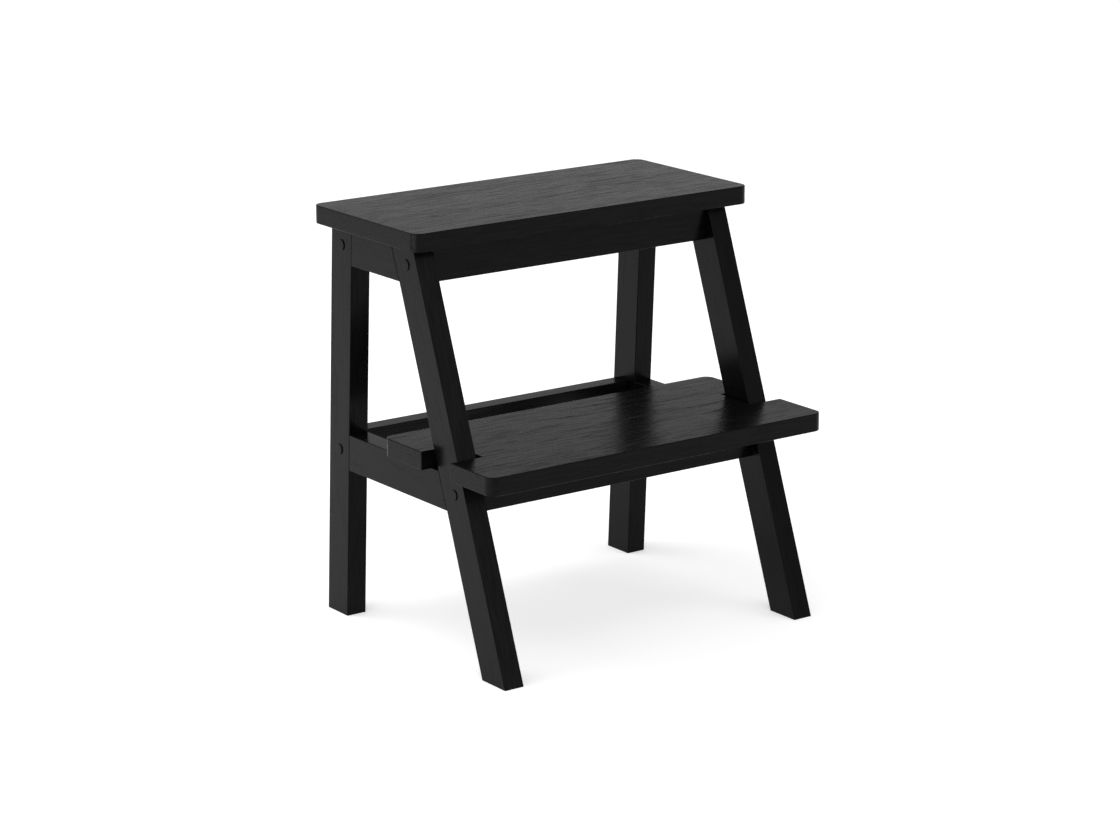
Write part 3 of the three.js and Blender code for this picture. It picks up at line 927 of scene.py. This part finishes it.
def build_board(board, log, notched):
    timber, _, _ = settings()
    node = f"{board}_board"
    low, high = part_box(node)
    notches = [notch("right", low, high), notch("left", low, high)[::-1]] if notched else []
    outline = board_outline(low, high, timber.corner_radius, *notches)
    slab = soften(prism(outline, low.z, high.z, flat), timber.board_softness)
    piece = carve(to_object(f"{node}_stained", slab), pilot_holes(board))
    finish(piece, node, board_wood(), (X, Y, log))


class STOOL_OT_build_top_board(bpy.types.Operator):
    """Build the top board, with rounded corners and softened edges"""

    bl_idname = "stool.build_top_board"
    bl_label = "Top board"

    def execute(self, context):
        build_board("top", TOP_BOARD_LOG, notched=False)
        return {"FINISHED"}


class STOOL_OT_build_step_board(bpy.types.Operator):
    """Build the step board, notched round the front legs"""

    bl_idname = "stool.build_step_board"
    bl_label = "Step board"

    def execute(self, context):
        build_board("step", STEP_BOARD_LOG, notched=True)
        return {"FINISHED"}


# ---- Legs ------------------------------------------------------------------------------------
def leg_cutters(end, side):
    """Mortises, and for each cross rail a headed bolt hole and a dowel hole."""
    _, joinery, hardware = settings()
    leg = LEGS[end, side]
    inward = -leg.side * X
    cutters = []
    for level in LEVELS:
        label = f"{level}_{end}_{side}"
        cutters.append(tenons(side, level, joinery.glue_gap))
        centre, reach = middle(f"bolt_{label}")
        sunk = abs(leg.outer) - (abs(centre.x) + reach.x)
        mouth = Vector((leg.outer, centre.y, centre.z))
        head_radius = reach.z + joinery.head_clearance
        cutters.append(bore(mouth, inward, head_radius, sunk + hardware.bolt_head_height))
        cutters.append(bore(mouth, inward, shank_radius(), leg.high_x - leg.low_x + CUTTER_REACH))
        cutters.append(dowel_hole(label, leg.inner, -inward))
    return cutters


def build_leg(end, side, log):
    leg = LEGS[end, side]
    outline = [
        (leg.foot[0], leg.bottom),
        (leg.foot[1], leg.bottom),
        (leg.head[1], leg.top),
        (leg.head[0], leg.top),
    ]
    piece = carve(blank(leg.node, outline, leg.low_x, leg.high_x, sideways), leg_cutters(end, side))
    along = leg.along()
    finish(piece, leg.node, frame_wood(), (along, along.cross(X), log))


class STOOL_OT_build_legs(bpy.types.Operator):
    """Build the four raked legs, with their mortises and bolt holes"""

    bl_idname = "stool.build_legs"
    bl_label = "Legs"

    def execute(self, context):
        draw = random.Random(LEG_SEED)
        for end, side in LEGS:
            build_leg(end, side, draw_log(draw))
        return {"FINISHED"}


# ---- Side rails ------------------------------------------------------------------------------
def build_side_rail(side, level, log):
    node = f"{level}_side_rail_{side}"
    leg = LEGS["front", side]
    piece = blank(node, rail_outline(side, level, 0, 0), leg.low_x, leg.high_x, sideways)
    carve(piece, [tenons(side, level)], "UNION")
    carve(piece, screw_ways(node))
    finish(piece, node, frame_wood(), (Y, Z, log))


class STOOL_OT_build_side_rails(bpy.types.Operator):
    """Build the four side rails, with their tenons and screw holes"""

    bl_idname = "stool.build_side_rails"
    bl_label = "Side rails"

    def execute(self, context):
        draw = random.Random(SIDE_RAIL_SEED)
        for side in SIDES:
            for level in LEVELS:
                build_side_rail(side, level, draw_log(draw))
        return {"FINISHED"}


# ---- Cross rails -----------------------------------------------------------------------------
def cross_rail_cutters(level, end):
    """At each side a bolt hole, a dowel hole, and the barrel nut's hole from the hidden face."""
    _, joinery, _ = settings()
    low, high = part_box(f"{level}_{end}_rail")
    hidden_face, inward = (high.y, -Y) if end == "front" else (low.y, Y)
    cutters = []
    for side, sign in SIDES.items():
        label = f"{level}_{end}_{side}"
        face_x = sign * high.x
        centre, reach = middle(f"bolt_{label}")
        depth = high.x - (abs(centre.x) - reach.x) + joinery.glue_gap
        cutters.append(bore(Vector((face_x, centre.y, centre.z)), -sign * X, shank_radius(), depth))
        cutters.append(dowel_hole(label, face_x, -sign * X))
        centre, reach = middle(f"barrel_nut_{label}")
        depth = abs(hidden_face - centre.y) + reach.y + joinery.glue_gap
        mouth = Vector((centre.x, hidden_face, centre.z))
        cutters.append(bore(mouth, inward, reach.z + joinery.glue_gap, depth, joinery.mouth_flare))
    return cutters


def build_cross_rail(level, end, log):
    node = f"{level}_{end}_rail"
    low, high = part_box(node)
    outline = rectangle(low.x, low.z, high.x, high.z)
    piece = blank(node, outline, low.y, high.y, frontal)
    carve(piece, cross_rail_cutters(level, end) + screw_ways(node))
    finish(piece, node, frame_wood(), (X, Z, log))


class STOOL_OT_build_cross_rails(bpy.types.Operator):
    """Build the four rails that tie the side frames together"""

    bl_idname = "stool.build_cross_rails"
    bl_label = "Cross rails"

    def execute(self, context):
        draw = random.Random(CROSS_RAIL_SEED)
        for level in LEVELS:
            for end in ENDS:
                build_cross_rail(level, end, draw_log(draw))
        return {"FINISHED"}


# ---- Hardware --------------------------------------------------------------------------------
def fastener_labels():
    """The end of each name shared by a cap, bolt, barrel nut and dowel."""
    return [f"{level}_{end}_{side}" for level in LEVELS for end in ENDS for side in SIDES]


def outward(node):
    """Where a cap or bolt starts, its direction out of the stool, its length and its radius."""
    centre, reach = middle(node)
    direction = X if centre.x > 0 else -X
    return centre - direction * reach.x, direction, 2 * reach.x, reach.z


def rounded_rim(rim, height, radius, crown):
    """The turned profile of a button's edge and crowned face."""
    steps = EDGE_STEPS * 2
    rows = []
    for i in range(steps + 1):
        bearing = i / steps * math.pi / 2
        drop = radius * (1 - math.sin(bearing))
        rows.append((rim - radius * (1 - math.cos(bearing)), height - crown - drop))
    for share in CROWN_ROWS:
        rows.append(((rim - radius) * share, height - crown * share**2))
    return rows


def build_cap(label, log):
    _, joinery, hardware = settings()
    node = f"cap_{label}"
    origin, direction, length, rim = outward(node)
    _, bolt_reach = middle(f"bolt_{label}")
    stem_radius = bolt_reach.z + joinery.head_clearance - joinery.glue_gap
    stem = length - hardware.cap_height
    profile = [(stem_radius, 0), (stem_radius, stem), (rim - hardware.cap_undercut, stem)]
    profile += rounded_rim(rim, length, hardware.cap_edge, hardware.cap_crown)
    piece = to_object(f"{node}_stained", turned(profile, CAP_SEGMENTS, origin, direction))
    finish(piece, node, frame_wood(), (Z, Y, log))


class STOOL_OT_build_caps(bpy.types.Operator):
    """Build the round caps over the bolts"""

    bl_idname = "stool.build_caps"
    bl_label = "Caps"

    def execute(self, context):
        draw = random.Random(CAP_SEED)
        for label in fastener_labels():
            build_cap(label, draw_log(draw))
        return {"FINISHED"}


def threaded_rows(radius, start, end, pitch, depth):
    """Turned rows close enough to carry a thread, whose cut fades in and out at the ends."""
    steps = max(2, round((end - start) / pitch * ROWS_PER_TURN))
    rows = []
    for i in range(steps + 1):
        height = blend(start, end, i / steps)
        fade = min(1.0, (height - start) / pitch, (end - height) / pitch)
        rows.append((radius, height, depth * fade))
    return rows


def helix(pitch):
    """The relief of a thread: deepest half a turn from its crest."""

    def relief(height, turn):
        phase = (height / pitch - turn) % 1.0
        return 1.0 - abs(2 * phase - 1.0)

    return relief


def build_bolt(label):
    _, _, hardware = settings()
    node = f"bolt_{label}"
    origin, direction, length, head_radius = outward(node)
    radius, pitch = hardware.bolt_diameter / 2, hardware.bolt_pitch
    seat = length - hardware.bolt_head_height
    tip = pitch * BOLT_TIP
    profile = [
        (radius - tip, 0.0, 0.0),
        *threaded_rows(radius, tip, hardware.bolt_thread_length, pitch, pitch * BOLT_THREAD_DEPTH),
        (radius, seat, 0.0),
        (head_radius, seat, 0.0),
        (head_radius, length - STEEL_EASE, 0.0),
        (head_radius - STEEL_EASE, length, 0.0),
    ]
    piece = to_object(f"{node}_threaded", turned(profile, THREAD_SEGMENTS, origin, direction, helix(pitch)))
    socket_radius = hardware.hex_width / 2 / math.cos(math.pi / HEX_SIDES)
    rows = [(socket_radius, -hardware.hex_depth), (socket_radius, CUTTER_REACH)]
    carve(piece, [turned(rows, HEX_SIDES, origin + direction * length, direction)])
    finish(piece, node, zinc_steel(), (X, Y, NO_LOG))


class STOOL_OT_build_bolts(bpy.types.Operator):
    """Build the threaded connector bolts under the caps"""

    bl_idname = "stool.build_bolts"
    bl_label = "Bolts"

    def execute(self, context):
        for label in fastener_labels():
            build_bolt(label)
        return {"FINISHED"}


def build_barrel_nut(label):
    _, _, hardware = settings()
    node = f"barrel_nut_{label}"
    centre, reach = middle(node)
    radius, half = reach.z, reach.y
    slotted = Y if "_front_" in node else -Y
    profile = [
        (radius - STEEL_EASE, -half),
        (radius, STEEL_EASE - half),
        (radius, half - STEEL_EASE),
        (radius - STEEL_EASE, half),
    ]
    piece = to_object(f"{node}_slotted", turned(profile, BORE_SEGMENTS, centre, slotted))
    long, wide = radius + CUTTER_REACH, hardware.nut_slot_width / 2
    outline = rectangle(centre.x - long, centre.z - wide, centre.x + long, centre.z + wide)
    faces = (half + CUTTER_REACH, half - hardware.nut_slot_depth)
    start, end = sorted(centre.y + slotted.y * face for face in faces)
    slot = prism(outline, start, end, frontal)
    hole = bore(centre - X * radius, X, shank_radius(), 2 * radius + CUTTER_REACH)
    carve(piece, [slot, hole])
    finish(piece, node, zinc_steel(), (Y, X, NO_LOG))


class STOOL_OT_build_barrel_nuts(bpy.types.Operator):
    """Build the slotted barrel nuts that the bolts screw into"""

    bl_idname = "stool.build_barrel_nuts"
    bl_label = "Barrel nuts"

    def execute(self, context):
        for label in fastener_labels():
            build_barrel_nut(label)
        return {"FINISHED"}


def build_dowel(label, log):
    _, _, hardware = settings()
    node = f"dowel_{label}"
    centre, reach = middle(node)
    radius, length = reach.z, 2 * reach.x
    chamfer, flute = hardware.dowel_chamfer, hardware.dowel_flute_depth
    profile = [
        (radius - chamfer, 0, 0),
        (radius - flute, chamfer - flute, 0),
        (radius, chamfer, flute),
        (radius, length - chamfer, flute),
        (radius - flute, length - chamfer + flute, 0),
        (radius - chamfer, length, 0),
    ]

    def flutes(_, turn):
        return 0.5 - 0.5 * math.cos(2 * math.pi * turn * hardware.dowel_flutes)

    segments = hardware.dowel_flutes * FLUTE_SEGMENTS
    piece = to_object(f"{node}_fluted", turned(profile, segments, centre - X * reach.x, X, flutes))
    finish(piece, node, bare_wood(), (X, Y, log))


class STOOL_OT_build_dowels(bpy.types.Operator):
    """Build the fluted dowels beside the bolts"""

    bl_idname = "stool.build_dowels"
    bl_label = "Dowels"

    def execute(self, context):
        draw = random.Random(DOWEL_SEED)
        for label in fastener_labels():
            build_dowel(label, draw_log(draw, DOWEL_LOG))
        return {"FINISHED"}


def build_screw(node):
    _, _, hardware = settings()
    centre, reach = middle(node)
    radius, head_radius = hardware.screw_diameter / 2, reach.x
    length, head = 2 * reach.z, hardware.screw_head_height
    pitch, tip = hardware.screw_pitch, hardware.screw_tip
    profile = [
        (head_radius - SCREW_EASE, 0, 0),
        (head_radius, SCREW_EASE, 0),
        (head_radius, head - SCREW_EASE, 0),
        (radius, head, 0),
        *threaded_rows(radius, head + 2 * pitch, length - tip, pitch, pitch * SCREW_THREAD_DEPTH),
        (radius * SCREW_TAPER, length - tip / 2, 0),
        (radius * SCREW_POINT, length, 0),
    ]
    origin = centre - Z * reach.z
    piece = to_object(f"{node}_threaded", turned(profile, THREAD_SEGMENTS, origin, Z, helix(pitch)))
    long, wide = hardware.drive_length / 2, hardware.drive_width / 2
    start, end = origin.z - CUTTER_REACH, origin.z + hardware.drive_depth
    cross = [
        prism(rectangle(origin.x - u, origin.y - v, origin.x + u, origin.y + v), start, end, flat)
        for u, v in ((long, wide), (wide, long))
    ]
    carve(piece, cross)
    finish(piece, node, zinc_steel(), (Z, X, NO_LOG))


class STOOL_OT_build_screws(bpy.types.Operator):
    """Build the screws that hold the boards down"""

    bl_idname = "stool.build_screws"
    bl_label = "Board screws"

    def execute(self, context):
        for node in screws_under("top") + screws_under("step"):
            build_screw(node)
        return {"FINISHED"}


# ---- Stage -----------------------------------------------------------------------------------
# Where the room's light changes, as shares of a direction's length along X, Y and Z
LEFT_TO_RIGHT = (0.53, 0.6)
FRONT_TO_BEHIND = (-0.5, 0.4)
HORIZON_TO_OVERHEAD = (0.06, 0.16)
WHITE = (1.0, 1.0, 1.0)


def make_camera(stage):
    """A camera on a sphere round its target."""
    level = math.cos(stage.elevation)
    back = Vector(
        (math.sin(stage.azimuth) * level, -math.cos(stage.azimuth) * level, math.sin(stage.elevation))
    )
    data = bpy.data.cameras.new("Camera")
    data.lens = stage.lens
    camera = bpy.data.objects.new("Camera", data)
    camera.location = Vector(stage.target) + back * stage.distance
    aim = (-back).to_track_quat("-Z", "Y").to_matrix() @ Matrix.Rotation(stage.roll, 3, "Z")
    camera.rotation_euler = aim.to_euler()
    bpy.context.scene.collection.objects.link(camera)
    bpy.context.scene.camera = camera


def make_floor(stage):
    """A wide round floor that stays white and keeps a soft shadow."""
    bm = bmesh.new()
    bmesh.ops.create_circle(bm, cap_ends=True, segments=FLOOR_SEGMENTS, radius=stage.floor_radius)
    floor = to_object("floor", bm)
    material = bpy.data.materials.new("White floor")
    w = bare_tree(material)
    paint = w.add("ShaderNodeBsdfDiffuse", {"Color": stage.floor_colour})
    rays = w.add("ShaderNodeLightPath").outputs
    seen = w.math("MAXIMUM", rays["Is Glossy Ray"], rays["Is Transmission Ray"])
    seen = w.math("MAXIMUM", rays["Is Camera Ray"], seen)
    strength = w.times(seen, stage.floor_glow)
    glow = w.add("ShaderNodeEmission", {"Color": WHITE, "Strength": strength})
    both = w.add("ShaderNodeAddShader", {0: paint.outputs[0], 1: glow.outputs[0]})
    w.add("ShaderNodeOutputMaterial", {"Surface": both.outputs[0]})
    floor.data.materials.append(material)


def make_room(stage):
    """A pale room, white at the horizon; overhead it is bright, but dim behind and far to the right."""
    world = bpy.data.worlds.new("Pale room")
    w = bare_tree(world)
    direction = w.add("ShaderNodeTexCoord").outputs["Generated"]
    way = w.add("ShaderNodeSeparateXYZ", {"Vector": direction}).outputs
    front = w.ramp(way["X"], *LEFT_TO_RIGHT, stage.overhead_left, stage.overhead_right)
    overhead = w.ramp(way["Y"], *FRONT_TO_BEHIND, front, stage.overhead_behind)
    strength = w.ramp(way["Z"], *HORIZON_TO_OVERHEAD, stage.horizon, overhead)
    room = w.add("ShaderNodeBackground", {"Color": WHITE, "Strength": strength})
    w.add("ShaderNodeOutputWorld", {"Surface": room.outputs[0]})
    bpy.context.scene.world = world
    bpy.context.scene.view_settings.view_transform = "Standard"


def make_lamp(name, place, sides, watts, turn=0.0):
    """A soft lamp that faces down, or is turned about Y."""
    data = bpy.data.lights.new(name, "AREA")
    data.shape = "RECTANGLE"
    data.size, data.size_y = sides
    data.energy = watts
    lamp = bpy.data.objects.new(name, data)
    lamp.location = place
    lamp.rotation_euler.y = turn
    lamp.visible_camera = False
    bpy.context.scene.collection.objects.link(lamp)


class STOOL_OT_set_stage(bpy.types.Operator):
    """Set the camera, the white floor and the soft light"""

    bl_idname = "stool.set_stage"
    bl_label = "Stage"

    def execute(self, context):
        stage = context.scene.stool_stage
        make_camera(stage)
        make_floor(stage)
        make_room(stage)
        square = (stage.high_lamp_side, stage.high_lamp_side)
        make_lamp("High lamp", stage.high_lamp_place, square, stage.high_lamp_power)
        strip = (stage.side_lamp_height, stage.side_lamp_width)
        make_lamp("Side lamp", stage.side_lamp_place, strip, stage.side_lamp_power, turn=-math.pi / 2)
        return {"FINISHED"}


# ---- Panel and registration ------------------------------------------------------------------
BUILDERS = [
    STOOL_OT_build_top_board,
    STOOL_OT_build_step_board,
    STOOL_OT_build_legs,
    STOOL_OT_build_side_rails,
    STOOL_OT_build_cross_rails,
    STOOL_OT_build_caps,
    STOOL_OT_build_bolts,
    STOOL_OT_build_barrel_nuts,
    STOOL_OT_build_dowels,
    STOOL_OT_build_screws,
    STOOL_OT_set_stage,
]


class STOOL_PT_sidebar(bpy.types.Panel):
    """Lists the stool's operators and its settings"""

    bl_idname = "STOOL_PT_sidebar"
    bl_label = "Step Stool"
    bl_space_type = "VIEW_3D"
    bl_region_type = "UI"
    bl_category = "Step Stool"

    def draw(self, context):
        column = self.layout.column(align=True)
        for builder in BUILDERS:
            column.operator(builder.bl_idname)
        for attribute, group in GROUPS.items():
            box = self.layout.box()
            box.label(text=group.__name__.removeprefix("Stool"))
            for name in group.__annotations__:
                box.prop(getattr(context.scene, attribute), name)


def register():
    for cls in (*GROUPS.values(), *BUILDERS, STOOL_PT_sidebar):
        bpy.utils.register_class(cls)
    for attribute, group in GROUPS.items():
        setattr(bpy.types.Scene, attribute, PointerProperty(type=group))


def unregister():
    for attribute in GROUPS:
        delattr(bpy.types.Scene, attribute)
    for cls in reversed((*GROUPS.values(), *BUILDERS, STOOL_PT_sidebar)):
        bpy.utils.unregister_class(cls)


def main():
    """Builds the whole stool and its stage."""
    register()
    for builder in BUILDERS:
        area, name = builder.bl_idname.split(".")
        getattr(getattr(bpy.ops, area), name)()


if __name__ == "__main__":
    main()
